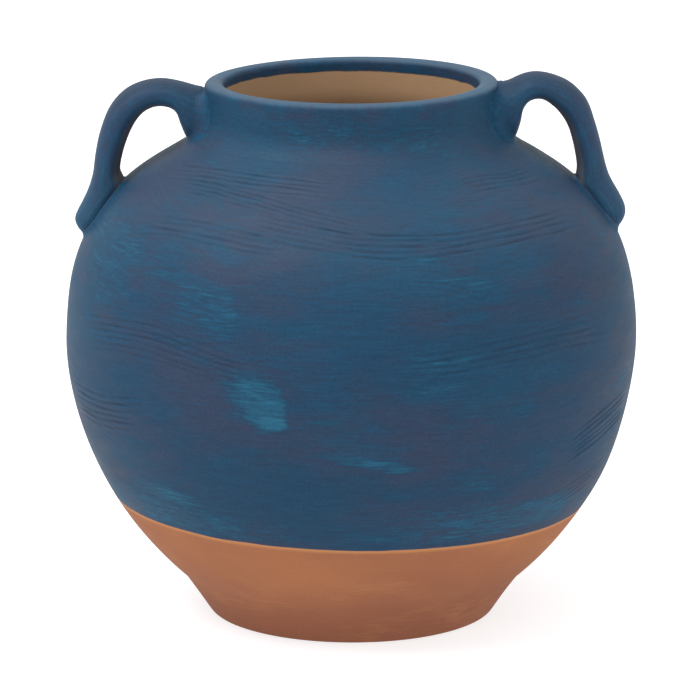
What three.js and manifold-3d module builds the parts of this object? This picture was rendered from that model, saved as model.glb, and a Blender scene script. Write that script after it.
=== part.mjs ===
// Two-handled amphora: a round, wheel-thrown earthenware vase with a short wide neck, two pulled
// strap handles from neck to shoulder, and a bare terracotta base under a painted body.
//
// Frame: millimetres, +Z up, origin at the centre of the foot on the surface it stands on.
// The handles lie in the XZ plane, the left one towards -X.

import * as THREE from 'three';
import { mergeVertices } from 'three/addons/utils/BufferGeometryUtils.js';
import Module from 'manifold-3d';

const wasm = await Module();
wasm.setup();

// ---- Driving dimensions -------------------------------------------------------------------

const RIM_HEIGHT = 245.4; // standing surface to the flat of the lip
const GIRTH_RADIUS = 130; // widest radius of the body
const GIRTH_HEIGHT = 128; // where the body is widest
const WALL = 8.8; // fired wall, seen full at the lip

const FOOT_RADIUS = 64.5; // outer edge of the standing ring
const FOOT_TOP_RADIUS = 78.5; // where the foot's cone meets the bowl
const FOOT_HEIGHT = 19.4;
const FOOT_RING_WIDTH = 12.5; // flat that the vase stands on
const FOOT_RECESS = 5; // depth of the turned underside
const FLOOR_THICKNESS = 9;
const BARE_BAND_HEIGHT = 36; // bare clay between the foot and the paint line

const NECK_RADIUS = 66.3; // outside of the collar
const COLLAR_HEIGHT = 25.4; // end of the shoulder's slope to the rim
const SHOULDER_TOP_SLOPE = 0.64; // radians below horizontal, where the shoulder ends
const NECK_FILLET = 14; // radius of the hollow between shoulder and collar
const LIP_ROUND = 2.6; // rounding of the lip's two edges

const HANDLE_WIDTH = 25; // across the strap, along Y
const HANDLE_ROUND = 3.5; // rounding of the strap's edges
const HANDLE_ROOT_DROP = 67; // rim down to the handle's lower root
const LUTE_REACH = 4; // how far the smoothed clay spreads around a handle root
const LUTE_THICKNESS = 2.6;

const GAP = 0.3; // clearance between a cut piece and the neighbour that cuts it
const TURNS = 48; // facets around the axis

// Side outlines of the two hand-pulled straps, as [reach outward from the neck wall, drop below
// the rim]. They are drawn for a root that is STRAP_REACH out and STRAP_DROP down, and stretch
// to where the body puts it. Both ends run into the wall, which then cuts them to fit.
const STRAP_REACH = 54;
const STRAP_DROP = 67;
const STRAPS = {
  left: {
    side: -1,
    outer: [
      [-4.3, 3.8], [0.7, 2.6], [10.1, 0.2], [19.2, -1.1], [28.7, 0.2], [37.7, 5.6],
      [44.3, 14.5], [48.7, 27.4], [50.7, 40.4], [54, 51.4], [58.6, 59], [59.7, 63.4],
      [57.6, 67.8], [51.5, 71.5],
    ],
    inner: [
      [33.5, 50.5], [37.2, 45.2], [38.1, 40.3], [36.5, 32.9], [33.7, 24.4], [30.4, 18.2],
      [25.7, 13.7], [19.3, 12], [14.1, 13.2], [11.3, 17.4], [10.5, 22.5], [7.5, 33],
    ],
  },
  right: {
    side: 1,
    outer: [
      [-4.3, 1.4], [2.3, 0.2], [9.9, -2.7], [17.2, -4.2], [24.7, -3.3], [31.5, -0.2],
      [39.2, 7.2], [43.6, 16.4], [46.3, 25.6], [48.9, 36.6], [51.1, 44], [55, 50.8],
      [57.9, 56.6], [58.2, 61], [56, 65], [49.8, 69],
    ],
    inner: [
      [31.5, 48.5], [35.1, 43], [36, 38.4], [34.7, 31.4], [32.2, 21.9], [28.7, 15.8],
      [23.7, 11], [17.3, 8.5], [12.2, 10.8], [10.2, 16], [9.6, 21], [7, 31.5],
    ],
  },
};

// ---- Materials ----------------------------------------------------------------------------

const bluePaint = new THREE.MeshStandardMaterial({
  color: 0x2b4a63, roughness: 0.72, metalness: 0,
});
const bareClay = new THREE.MeshStandardMaterial({
  color: 0xaa6a48, roughness: 0.85, metalness: 0,
});

// ---- Profile of the thrown body -----------------------------------------------------------

const paintLineHeight = FOOT_HEIGHT + BARE_BAND_HEIGHT;
const shoulderTopHeight = RIM_HEIGHT - COLLAR_HEIGHT;
const bowlRise = GIRTH_HEIGHT - FOOT_HEIGHT;
const shoulderRise = shoulderTopHeight - GIRTH_HEIGHT;
const shoulderTopRadius = NECK_RADIUS + NECK_FILLET * (1 - Math.sin(SHOULDER_TOP_SLOPE));
const shoulderWidth = GIRTH_RADIUS - shoulderTopRadius;
const collarBaseHeight = shoulderTopHeight + NECK_FILLET * Math.cos(SHOULDER_TOP_SLOPE);
const collarTopHeight = RIM_HEIGHT - LIP_ROUND;

const point = (radius, height) => new THREE.Vector2(radius, height);

// Foot to girth: leaves the foot at about 41 degrees and fills out quickly to the full radius.
const bowlCurve = new THREE.CubicBezierCurve(
  point(FOOT_TOP_RADIUS, FOOT_HEIGHT),
  point(THREE.MathUtils.lerp(FOOT_TOP_RADIUS, GIRTH_RADIUS, 0.938), FOOT_HEIGHT + bowlRise * 0.394),
  point(GIRTH_RADIUS, GIRTH_HEIGHT - bowlRise * 0.119),
  point(GIRTH_RADIUS, GIRTH_HEIGHT),
);

// Girth to the foot of the collar, ending on a straight slope.
const shoulderTangent = shoulderWidth * 0.48;
const shoulderCurve = new THREE.CubicBezierCurve(
  point(GIRTH_RADIUS, GIRTH_HEIGHT),
  point(GIRTH_RADIUS, GIRTH_HEIGHT + shoulderRise * 0.745),
  point(
    shoulderTopRadius + shoulderTangent * Math.cos(SHOULDER_TOP_SLOPE),
    shoulderTopHeight - shoulderTangent * Math.sin(SHOULDER_TOP_SLOPE),
  ),
  point(shoulderTopRadius, shoulderTopHeight),
);

// The hollow at the foot of the collar is an arc about a centre outside the vase.
const filletCurve = new THREE.EllipseCurve(
  NECK_RADIUS + NECK_FILLET, collarBaseHeight, NECK_FILLET, NECK_FILLET,
  Math.PI * 1.5 - SHOULDER_TOP_SLOPE, Math.PI, true,
);
const collarLine = new THREE.LineCurve(
  point(NECK_RADIUS, collarBaseHeight),
  point(NECK_RADIUS, collarTopHeight),
);

const outerProfile = [bowlCurve, shoulderCurve, filletCurve, collarLine]
  .flatMap((curve, index) => curve.getPoints(40).slice(index === 0 ? 0 : 1));

// The profile moved square to itself, outward by `distance`.
function offsetProfile(distance) {
  return outerProfile.map((here, index) => {
    const before = outerProfile[Math.max(index - 1, 0)];
    const after = outerProfile[Math.min(index + 1, outerProfile.length - 1)];
    const along = after.clone().sub(before).normalize();
    return point(here.x + along.y * distance, here.y - along.x * distance);
  });
}

function radiusAt(profile, height) {
  const above = profile.findIndex((sample) => sample.y >= height);
  if (above === 0) return profile[0].x;
  if (above < 0) return profile[profile.length - 1].x;
  const low = profile[above - 1];
  const high = profile[above];
  return THREE.MathUtils.lerp(low.x, high.x, (height - low.y) / (high.y - low.y));
}

// Height on the shoulder where the outer skin comes in to this radius.
function shoulderHeightAt(radius) {
  return outerProfile.find(({ x, y }) => y > GIRTH_HEIGHT && x <= radius).y;
}

// The inside wall starts on the foot's seat, a little inside the bowl's own thickness.
const innerProfile = [
  point(FOOT_TOP_RADIUS - WALL * 1.3, FOOT_HEIGHT),
  ...offsetProfile(-WALL),
];

function levels(low, high, steps) {
  return Array.from({ length: steps + 1 }, (_, step) => THREE.MathUtils.lerp(low, high, step / steps));
}

// Walls, skin and shells all bend at these heights, so that they stay parallel.
const bowlLevels = levels(FOOT_HEIGHT, paintLineHeight, 5);
const bellyLevels = levels(paintLineHeight, GIRTH_HEIGHT, 7);
const shoulderLevels = levels(GIRTH_HEIGHT, shoulderTopHeight, 10);
const filletLevels = levels(shoulderTopHeight, collarBaseHeight, 4);

function stations(profile, heights) {
  return heights.map((height) => point(radiusAt(profile, height), height));
}

function corner(centreRadius, centreHeight, radius, from, to) {
  return new THREE.EllipseCurve(centreRadius, centreHeight, radius, radius, from, to, false)
    .getPoints(3);
}

// ---- Turned pieces ------------------------------------------------------------------------

function turn(profile) {
  const geometry = new THREE.LatheGeometry(profile, TURNS);
  geometry.rotateX(Math.PI / 2);
  return geometry;
}

function closedRing(points) {
  return turn([...points, points[0]]);
}

function wallRing(heights) {
  return closedRing([
    ...stations(outerProfile, heights),
    ...stations(innerProfile, heights).reverse(),
  ]);
}

function footGeometry() {
  const ringInside = FOOT_RADIUS - FOOT_RING_WIDTH;
  const floorHeight = FOOT_RECESS + FLOOR_THICKNESS;
  const seatInside = innerProfile[0].x;
  return turn([
    point(0, FOOT_RECESS),
    point(ringInside - FOOT_RECESS, FOOT_RECESS),
    point(ringInside, 0),
    point(FOOT_RADIUS, 0),
    point(FOOT_TOP_RADIUS, FOOT_HEIGHT),
    point(seatInside, FOOT_HEIGHT),
    point(seatInside - WALL, floorHeight),
    point(0, floorHeight),
  ]);
}

function neckGeometry() {
  const mouthRadius = NECK_RADIUS - WALL;
  const lipCentre = collarTopHeight;
  return closedRing([
    ...stations(outerProfile, filletLevels),
    ...corner(NECK_RADIUS - LIP_ROUND, lipCentre, LIP_ROUND, 0, Math.PI / 2),
    ...corner(mouthRadius + LIP_ROUND, lipCentre, LIP_ROUND, Math.PI / 2, Math.PI),
    ...stations(innerProfile, filletLevels).reverse(),
  ]);
}

// ---- Joining and cutting ------------------------------------------------------------------

function toSolid(geometry) {
  const bare = geometry.clone();
  bare.deleteAttribute('normal');
  bare.deleteAttribute('uv');
  const merged = mergeVertices(bare, 1e-4);
  const corners = merged.index.array;
  const triangles = [];
  for (let start = 0; start < corners.length; start += 3) {
    const [a, b, c] = corners.slice(start, start + 3);
    if (a !== b && b !== c && c !== a) triangles.push(a, b, c);
  }
  return new wasm.Manifold(new wasm.Mesh({
    numProp: 3,
    vertProperties: new Float32Array(merged.attributes.position.array),
    triVerts: new Uint32Array(triangles),
  }));
}

function toGeometry(solid) {
  const mesh = solid.getMesh();
  const geometry = new THREE.BufferGeometry();
  geometry.setAttribute('position', new THREE.BufferAttribute(mesh.vertProperties, mesh.numProp));
  geometry.setIndex(new THREE.BufferAttribute(mesh.triVerts, 1));
  geometry.computeVertexNormals();
  return geometry;
}

// Everything inside the outer skin above the girth, grown by GAP.
function skinSolid() {
  const skin = offsetProfile(GAP);
  const top = RIM_HEIGHT + HANDLE_ROOT_DROP;
  return toSolid(turn([
    point(0, GIRTH_HEIGHT),
    ...stations(skin, [...shoulderLevels, ...filletLevels.slice(1)]),
    point(NECK_RADIUS + GAP, top),
    point(0, top),
  ]));
}

// A thin shell of clay lying on the outer skin between two heights.
function shellSolid(low, high) {
  const between = [...shoulderLevels, ...filletLevels.slice(1)]
    .filter((height) => height > low && height < high);
  const heights = [low, ...between, high];
  const near = stations(offsetProfile(GAP), heights);
  const far = stations(offsetProfile(GAP + LUTE_THICKNESS), heights);
  return toSolid(closedRing([...far, ...near.reverse()]));
}

// ---- Handles ------------------------------------------------------------------------------

const rootHeight = RIM_HEIGHT - HANDLE_ROOT_DROP;
const rootReach = radiusAt(outerProfile, rootHeight) - NECK_RADIUS;

// The strap before it is fitted to the body, grown by `grow` on every side.
function strapBlank(strap, grow) {
  const place = ([reach, drop]) => point(
    NECK_RADIUS + reach * (rootReach / STRAP_REACH),
    RIM_HEIGHT - drop * (HANDLE_ROOT_DROP / STRAP_DROP),
  );
  const outer = strap.outer.map(place);
  const inner = strap.inner.map(place);
  const outline = new THREE.Shape();
  outline.moveTo(outer[0].x, outer[0].y);
  for (const edge of [outer, inner]) {
    const last = edge.pop();
    edge.slice(0, 2).forEach(({ x, y }) => outline.lineTo(x, y));
    outline.splineThru(edge.slice(2));
    outline.lineTo(last.x, last.y);
  }
  outline.lineTo(NECK_RADIUS - WALL / 2, outline.currentPoint.y + WALL);
  outline.closePath();
  const geometry = new THREE.ExtrudeGeometry(outline, {
    depth: HANDLE_WIDTH - 2 * HANDLE_ROUND,
    bevelThickness: HANDLE_ROUND + grow,
    bevelSize: HANDLE_ROUND,
    bevelOffset: grow - HANDLE_ROUND,
    bevelSegments: 2,
    curveSegments: 2,
  });
  geometry.translate(0, 0, HANDLE_ROUND - HANDLE_WIDTH / 2);
  geometry.rotateX(Math.PI / 2);
  if (strap.side < 0) geometry.rotateZ(Math.PI);
  return toSolid(geometry);
}

function handleGeometry(strap) {
  return toGeometry(strapBlank(strap, 0).subtract(skinSolid()));
}

// Soft clay pressed around a handle root: the shell of clay on the skin that lies within
// LUTE_REACH of the strap.
function luteGeometry(strap, shell) {
  const reach = strapBlank(strap, LUTE_REACH);
  const strapItself = strapBlank(strap, GAP);
  return toGeometry(shell.intersect(reach).subtract(strapItself));
}

// ---- Assembly -----------------------------------------------------------------------------

const amphora = new THREE.Group();
amphora.name = 'amphora';

function add(name, geometry, material) {
  const mesh = new THREE.Mesh(geometry, material);
  mesh.name = name;
  amphora.add(mesh);
}

add('foot', footGeometry(), bareClay);
add('lower_body', wallRing(bowlLevels), bareClay);
add('belly', wallRing(bellyLevels), bluePaint);
add('shoulder', wallRing(shoulderLevels), bluePaint);
add('neck', neckGeometry(), bluePaint);

// The two shells part on the shoulder under the middle of the finger gap.
const fingerGapRadius = NECK_RADIUS + rootReach * 0.43;
const betweenRoots = shoulderHeightAt(fingerGapRadius);
const neckShell = shellSolid(betweenRoots, collarTopHeight - LIP_ROUND);
const shoulderShell = shellSolid(GIRTH_HEIGHT, betweenRoots);
for (const [side, strap] of Object.entries(STRAPS)) {
  add(`handle_${side}`, handleGeometry(strap), bluePaint);
  add(`neck_lute_${side}`, luteGeometry(strap, neckShell), bluePaint);
  add(`shoulder_lute_${side}`, luteGeometry(strap, shoulderShell), bluePaint);
}

export default amphora;
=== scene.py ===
"""Two-handled vase: a thrown clay body painted blue over a bare clay base, with two pulled strap handles.

Lengths are in metres unless a name ends in _mm. Azimuth is measured around the vase from its front,
positive towards the right-hand handle. "Rise" is the length along the outside of the wall from the foot up.
"""

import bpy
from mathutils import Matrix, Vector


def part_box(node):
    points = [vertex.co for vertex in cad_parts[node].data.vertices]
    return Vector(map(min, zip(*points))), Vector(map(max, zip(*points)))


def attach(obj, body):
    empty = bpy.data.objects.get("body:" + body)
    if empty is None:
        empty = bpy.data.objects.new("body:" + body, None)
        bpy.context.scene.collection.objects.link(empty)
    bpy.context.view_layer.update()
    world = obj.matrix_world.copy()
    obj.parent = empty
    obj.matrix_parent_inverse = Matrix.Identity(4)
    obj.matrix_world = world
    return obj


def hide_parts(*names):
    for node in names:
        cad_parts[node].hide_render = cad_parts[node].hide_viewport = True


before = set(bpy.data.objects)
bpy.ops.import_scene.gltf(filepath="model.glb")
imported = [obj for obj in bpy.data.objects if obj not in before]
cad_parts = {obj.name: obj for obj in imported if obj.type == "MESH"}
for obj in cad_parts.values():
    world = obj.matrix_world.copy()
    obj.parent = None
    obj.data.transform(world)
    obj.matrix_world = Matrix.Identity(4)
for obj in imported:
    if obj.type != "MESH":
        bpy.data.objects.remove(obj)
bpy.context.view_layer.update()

import math

import bmesh
import bpy
import numpy as np
from bpy.props import FloatProperty, FloatVectorProperty, IntProperty, PointerProperty
from mathutils import Vector

bl_info = {
    "name": "Two-handled vase",
    "version": (1, 0, 0),
    "blender": (4, 5, 0),
    "location": "3D View > Sidebar > Vase",
    "description": "Builds a thrown and painted clay vase with two strap handles around its CAD frame",
    "category": "Object",
}

MM = 0.001
FOOT_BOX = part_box("foot")[1]
BARE_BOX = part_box("lower_body")[1]
BELLY_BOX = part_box("belly")[1]
SHOULDER_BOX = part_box("shoulder")[1]
NECK_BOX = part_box("neck")[1]


# ---- Sizes and colours ---------------------------------------------------------------------------


def length(name, description, default):
    return FloatProperty(name=name, description=description, default=default, min=0.0, unit="LENGTH")


def colour(name, description, red, green, blue):
    """A colour property whose default is given in the 0 to 255 numbers of a paint chart."""
    shades = (red / 255, green / 255, blue / 255)
    linear = [shade / 12.92 if shade <= 0.04045 else ((shade + 0.055) / 1.055) ** 2.4 for shade in shades]
    return FloatVectorProperty(
        name=name, description=description, subtype="COLOR", size=3, min=0.0, max=1.0, default=linear
    )


class VaseSizes(bpy.types.PropertyGroup):
    """Sizes of the thrown body, its handles and its tool marks"""

    rim_height: length("Rim height", "Standing surface to the flat of the lip", NECK_BOX.z)
    girth_radius: length("Girth radius", "Widest radius of the body", BELLY_BOX.x)
    girth_height: length("Girth height", "Height at which the body is widest", BELLY_BOX.z)
    shoulder_height: length("Shoulder height", "Height at which the collar starts", SHOULDER_BOX.z)
    paint_height: length("Paint height", "Height of the line where the paint starts", BARE_BOX.z)
    foot_top_radius: length("Foot top radius", "Radius where the foot meets the bowl", FOOT_BOX.x)
    foot_height: length("Foot height", "Height of the foot's cone", FOOT_BOX.z)
    foot_radius: length("Foot radius", "Outer edge of the standing ring", 64.5 * MM)
    foot_ring_width: length("Foot ring width", "Flat that the vase stands on", 12.5 * MM)
    foot_recess: length("Foot recess", "Depth of the turned underside", 5 * MM)
    floor_thickness: length("Floor thickness", "Thickness of the clay over the recess", 9 * MM)
    neck_radius: length("Neck radius", "Outside radius of the collar", 66.3 * MM)
    wall: length("Wall", "Thickness of the fired wall", 8.8 * MM)
    neck_fillet: length("Neck fillet", "Radius of the hollow under the collar", 14 * MM)
    lip_round: length("Lip rounding", "Rounding of the lip's edges", 2.6 * MM)
    lip_crown: length("Lip crown", "How far the lip rises between its edges", 0.35 * MM)
    strap_width: length("Strap width", "Width of a handle from front to back", 25 * MM)
    neck_lute: length("Neck lute", "How far smoothed clay spreads from an upper handle root", 6.0 * MM)
    shoulder_lute: length("Shoulder lute", "How far smoothed clay spreads from a lower root", 7.5 * MM)
    comb_depth: length("Comb depth", "Depth of the combed grooves", 0.46 * MM)
    shoulder_slope: FloatProperty(
        name="Shoulder slope", description="Fall of the shoulder where it meets the collar",
        default=0.64, unit="ROTATION",
    )
    turns: IntProperty(name="Turns", description="Steps around the vase", default=336, min=24)


class VaseColours(bpy.types.PropertyGroup):
    """Colours of the paint, the clay and the slip"""

    violet: colour("Violet", "Thin paint, where it dries violet", 38, 52, 74)
    blue: colour("Blue", "The body colour of the paint", 19, 54, 79)
    teal: colour("Teal", "Paint that leans green", 15, 60, 85)
    rubbed: colour("Rubbed", "Bright teal where the top coat is rubbed away", 31, 86, 110)
    # On the lip this paler paint is wear; on the shoulder it is painted sheen, standing in for light from
    # above.
    wear_and_sheen: colour("Worn", "Paler paint on the lip and the dusty shoulder", 84, 106, 122)
    # This brown is partly real stain and partly painted shade in the handles' corners and the creases at their
    # roots.
    seam: colour("Seam", "Brown stain in the corners of the handles", 98, 90, 84)
    clay: colour("Clay", "Fired clay", 150, 96, 64)
    clay_pale: colour("Pale clay", "Clay washed paler under the paint line", 188, 131, 83)
    # Also darkens the clay towards the foot, partly as painted shade.
    clay_red_and_shade: colour("Red clay", "Redder patches in the clay", 127, 78, 59)
    slip: colour("Slip", "Pale slip inside the vase", 156, 125, 95)
    floor: colour("Floor", "Studio floor", 180, 182, 185)


# ---- The wall's section --------------------------------------------------------------------------


def bezier(start, *others, count=160):
    """Points on a quadratic or cubic curve through its ends."""
    corners = [np.array(corner, float) for corner in (start, *others)]
    t = np.linspace(0, 1, count)[:, None]
    while len(corners) > 1:
        corners = [(1 - t) * here + t * after for here, after in zip(corners, corners[1:])]
    return corners[0]


def towards(start, end, distance):
    """The point a given distance from the start on the way to the end."""
    start, end = np.array(start, float), np.array(end, float)
    return start + (end - start) * distance / np.linalg.norm(end - start)


class Section:
    """The outer and inner line of the wall, as (radius, height) rows from the foot up."""

    EDGE_ROUND = 1.5 * MM
    KINK_ROUND = 3.0 * MM
    POINT_SPACING = 0.52 * MM
    INSIDE_SPACING = 6 * MM

    def __init__(self, sizes):
        self.sizes = sizes
        girth = (sizes.girth_radius, sizes.girth_height)
        foot_edge = (sizes.foot_radius, 0)
        foot_top = (sizes.foot_top_radius, sizes.foot_height)
        bowl_rise = sizes.girth_height - sizes.foot_height
        shoulder_rise = sizes.shoulder_height - sizes.girth_height
        slope = sizes.shoulder_slope
        top_radius = sizes.neck_radius + sizes.neck_fillet * (1 - math.sin(slope))
        tangent = (sizes.girth_radius - top_radius) * 0.48
        self.collar_base = sizes.shoulder_height + sizes.neck_fillet * math.cos(slope)
        self.collar_top = sizes.rim_height - sizes.lip_round

        bowl = bezier(
            foot_top,
            (foot_top[0] + (girth[0] - foot_top[0]) * 0.938, foot_top[1] + bowl_rise * 0.394),
            (girth[0], girth[1] - bowl_rise * 0.119),
            girth,
        )
        shoulder = bezier(
            girth,
            (girth[0], girth[1] + shoulder_rise * 0.745),
            (top_radius + tangent * math.cos(slope), sizes.shoulder_height - tangent * math.sin(slope)),
            (top_radius, sizes.shoulder_height),
        )
        angles = np.linspace(math.pi / 2 - slope, 0, 40)
        hollow = np.column_stack([
            sizes.neck_radius + sizes.neck_fillet * (1 - np.cos(angles)),
            self.collar_base - sizes.neck_fillet * np.sin(angles),
        ])
        collar = np.array([(sizes.neck_radius, self.collar_top)])
        sharp = np.vstack([bowl, shoulder[1:], hollow[1:], collar])

        kink = bezier(
            towards(foot_top, foot_edge, self.KINK_ROUND), foot_top,
            towards(foot_top, bowl[8], self.KINK_ROUND), count=12,
        )
        edge = bezier(
            towards(foot_edge, (0, 0), self.EDGE_ROUND), foot_edge,
            towards(foot_edge, foot_top, self.EDGE_ROUND), count=8,
        )
        self.outer = np.vstack([edge, kink, sharp[sharp[:, 1] > kink[-1, 1]]])
        self.rises = np.concatenate([[0], np.cumsum(np.linalg.norm(np.diff(self.outer, axis=0), axis=1))])

        along = np.gradient(sharp, axis=0)
        along /= np.linalg.norm(along, axis=1)[:, None]
        inward = sharp + np.column_stack([-along[:, 1], along[:, 0]]) * sizes.wall
        seat = (sizes.foot_top_radius - 1.3 * sizes.wall, sizes.foot_height)
        self.inner = np.vstack([[seat], inward[inward[:, 1] > sizes.foot_height + 2 * MM]])

    def radius(self, height):
        return np.interp(height, self.outer[:, 1], self.outer[:, 0])

    def inner_radius(self, height):
        return np.interp(height, self.inner[:, 1], self.inner[:, 0])

    def rise(self, height):
        return np.interp(height, self.outer[:, 1], self.rises)

    def square(self, height):
        """The direction square to the outside, as its radial and upward parts."""
        low, high = np.asarray(height) - 0.5 * MM, np.asarray(height) + 0.5 * MM
        out = np.interp(high, self.outer[:, 1], self.outer[:, 0]) - self.radius(low)
        up = np.full_like(out, 1.0 * MM)
        size = np.hypot(out, up)
        return up / size, -out / size

    def outside(self, low, high):
        """Evenly spaced points up the outside between two heights."""
        ends = self.rise(low), self.rise(high)
        rises = np.linspace(*ends, max(2, round((ends[1] - ends[0]) / self.POINT_SPACING)) + 1)
        return [tuple(np.interp(rise, self.rises, column) for column in self.outer.T) for rise in rises]

    def inside(self, low, high, step=INSIDE_SPACING):
        """Points down the inside between two heights."""
        heights = np.linspace(high, low, max(2, round((high - low) / step)) + 1)
        return [(float(self.inner_radius(height)), height) for height in heights]

    def band(self, low, high):
        return self.outside(low, high) + self.inside(low, high)


# ---- Marks of the hand ---------------------------------------------------------------------------

# Each comb stroke is a path of (azimuth in degrees, height in mm), then its tines, their spacing in mm
# and how hard the comb was pressed.
COMB_STROKES = (
    (((-70, 209), (-55, 212.5), (-43, 212.8), (-28, 212.8), (-14, 212.4), (0, 211)), 4, 2.9, 1.0),
    (((-62, 207), (-45, 208.5), (-33, 207.5), (-20, 205), (-8, 201.5), (4, 197.5), (14, 195)), 4, 2.8, 0.9),
    (((-70, 206), (-58, 202), (-46, 197)), 4, 2.6, 0.8),
    (((-62, 190), (-50, 193), (-40, 194), (-30, 192.6), (-20, 191.2), (-10, 190.5)), 4, 3.0, 0.8),
    (((-28, 200), (-20, 198), (-9, 195), (2, 192.4), (14, 191), (26, 191.4)), 5, 2.9, 1.0),
    (((10, 190.5), (22, 191.5), (36, 192.8), (53, 193.4), (70, 192)), 4, 3.1, 0.8),
    (((30, 210), (42, 211), (58, 209.6), (72, 209)), 4, 2.9, 0.9),
    (((40, 203), (49, 201.4), (60, 198)), 3, 2.8, 0.5),
    (((-38, 172), (-29, 166.7), (-22, 160)), 4, 2.5, 0.5),
    (((14, 175), (20, 173.6), (26, 169.5), (33, 164)), 3, 2.9, 0.6),
    (((-72, 139), (-60, 143.5), (-48, 146.5), (-37, 145), (-27, 140.5), (-12, 134)), 6, 2.8, 0.8),
    (((-80, 106), (-70, 107), (-61, 107.5), (-50, 110), (-41, 114)), 6, 3.0, 1.0),
    (((-66, 100), (-58, 98), (-50, 95)), 3, 2.8, 0.6),
    (((8, 141.5), (20, 143.6), (30, 145.4), (45, 147.6), (64, 145)), 4, 3.0, 0.9),
    (((46, 90), (54, 97), (66, 102), (80, 106)), 6, 2.9, 1.2),
    (((45, 67), (54, 71), (66, 76), (74, 80)), 4, 2.9, 0.7),
    (((84, 150), (100, 156), (118, 155), (134, 149)), 5, 3.0, 0.9),
    (((96, 205), (112, 210), (130, 211), (150, 208), (166, 204)), 5, 2.9, 0.9),
    (((110, 118), (128, 112), (146, 110), (160, 114)), 5, 3.2, 1.1),
    (((140, 186), (156, 191), (172, 192), (190, 188), (204, 183)), 5, 3.0, 0.9),
    (((172, 150), (188, 144), (206, 143), (222, 149)), 4, 3.0, 0.8),
    (((196, 206), (212, 211), (230, 212), (246, 209)), 4, 2.9, 0.9),
    (((210, 96), (226, 102), (242, 104), (262, 100)), 6, 3.1, 1.2),
    (((232, 176), (248, 182), (262, 180)), 3, 2.8, 0.6),
    (((150, 84), (168, 80), (186, 82)), 3, 3.0, 0.6),
)

# Each rub is the azimuth and height of its middle, its half width in degrees and half height in mm,
# how strong it is, how sharply it ends on its right, and how far it climbs over its width in mm.
RUBS = (
    (-19.4, 127, 7.2, 13, 0.85, 0.85, -4),
    (-16, 117, 3.8, 4.4, 1.4, 0.6, 0),
    (-33, 166, 10.5, 13, 0.55, 0.95, -6),
    (-46, 174, 10, 12, 0.36, 0.1, -5),
    (-44, 75, 15, 5.5, 0.8, 0.1, -3.5),
    (-45, 64, 48, 11, 0.62, 0.0, 0),
    (40, 65, 46, 12, 0.7, 0.0, 0),
    (135, 64, 48, 11, 0.62, 0.0, 0),
    (225, 64, 48, 11, 0.64, 0.0, 0),
    (17, 143, 10, 7, 0.45, 0.3, 3),
    (15, 131, 8, 5, 0.42, 0.4, 0),
    (4, 99, 12, 3.6, 0.7, 0.2, -4),
    (9, 96, 5, 2.4, 0.75, 0.2, 0),
    (22, 176, 11, 4.5, 0.5, 0.5, -4),
    (10, 186, 11, 3.6, 0.45, 0.4, 0),
    (-62, 174, 20, 24, 0.5, 0.1, 0),
    (26, 86, 7, 6, 0.4, 0.3, 0),
    (40, 66, 12, 4, 0.4, 0.2, 2),
    (-14, 232, 30, 9, 0.42, 0.2, 0),
    (26, 230, 20, 8, 0.45, 0.2, 0),
    (68, 118, 8, 10, 0.35, 0.6, 4),
    (-73, 232, 6, 12, 0.5, 0.2, 0),
    (72, 232, 6, 13, 0.65, 0.5, 0),
    (-107, 232, 6, 12, 0.4, 0.1, 0),
    (108, 232, 6, 13, 0.4, 0.2, 0),
    (-74, 186, 5, 14, 0.55, 0.2, 0),
    (72, 186, 4, 12, 0.5, 0.2, 0),
    (92, 132, 9, 12, 0.7, 0.9, 8),
    (118, 176, 11, 10, 0.6, 0.7, -8),
    (150, 128, 8, 13, 0.9, 1.0, -6),
    (172, 96, 12, 6, 0.7, 0.3, 4),
    (188, 168, 9, 9, 0.6, 0.8, -9),
    (214, 122, 8, 11, 0.9, 1.0, 6),
    (236, 82, 12, 5, 0.8, 0.3, 3),
    (250, 148, 9, 10, 0.5, 0.8, -5),
    (140, 228, 22, 8, 0.4, 0.2, 0),
    (212, 230, 24, 8, 0.4, 0.2, 0),
)


COMB_SEED = 11
TINE_WIDTH = 0.55 * MM
RAISED_EDGE = 1.25 * MM
RAISED_SHARE = 0.32
TINE_PLAY_MM = 0.25
TINE_WAVE = 0.25 * MM
STROKE_STEPS = 80
STROKE_BLUR = 9
CUT_LIMITS = (-0.3, 1.0)


def smooth(value):
    """Eases from 0 to 1 and stays there."""
    value = np.clip(value, 0, 1)
    return value * value * (3 - 2 * value)


def turned_from(azimuth, middle):
    """How far round each azimuth lies from the middle one, between half a turn either way."""
    return (azimuth - middle + math.pi) % (2 * math.pi) - math.pi


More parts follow.
